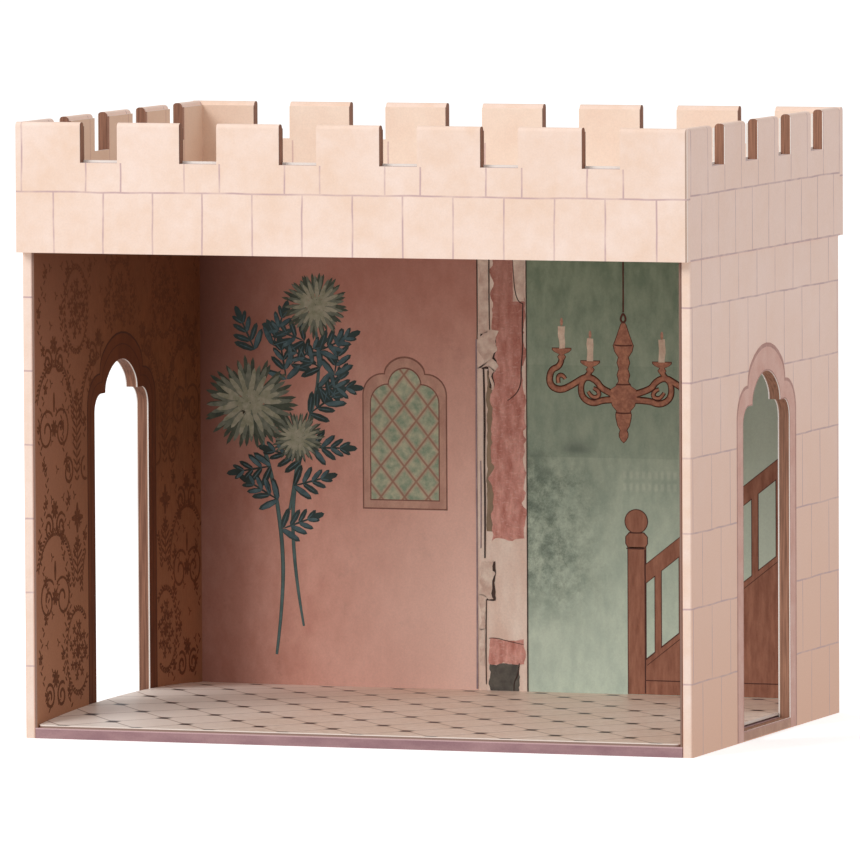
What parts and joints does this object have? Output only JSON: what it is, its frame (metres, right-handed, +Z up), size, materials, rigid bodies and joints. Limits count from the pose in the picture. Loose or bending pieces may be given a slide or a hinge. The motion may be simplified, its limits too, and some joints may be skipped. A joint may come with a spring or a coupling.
{
  "type": "toy castle hall of printed board",
  "caption": "Toy castle hall of thick printed board: an open front, a doorway in each side wall, a lined room and a crown of battlements on top.",
  "frame": {"origin": "on the ground under the middle of the hall and of its crown", "axes": "+Z up, +X to the right seen from the open front, the open front looks along -Y"},
  "size_m": [0.2806, 0.2032, 0.2464],
  "materials": {
    "stone_print_board": "matt printed paper on board",
    "stone_print_card": "matt printed card",
    "plum_paper_board": "matt coloured paper on board",
    "tile_print_card": "satin varnished printed card",
    "damask_card": "matt printed card",
    "painted_room_card": "matt printed card"
  },
  "bodies": {
    "root": {"base_board": "plum_paper_board", "floor_card": "tile_print_card", "wall_left": "stone_print_board", "wall_right": "stone_print_board", "wall_back": "stone_print_board", "lining_left": "damask_card", "lining_right": "damask_card", "lining_back": "painted_room_card", "deck_board": "stone_print_board", "parapet_front": "stone_print_board", "parapet_rear": "stone_print_board", "parapet_left": "stone_print_board", "parapet_right": "stone_print_board", "parapet_lining_front": "stone_print_card", "parapet_lining_rear": "stone_print_card", "parapet_lining_left": "stone_print_card", "parapet_lining_right": "stone_print_card"}
  },
  "joints": []
}
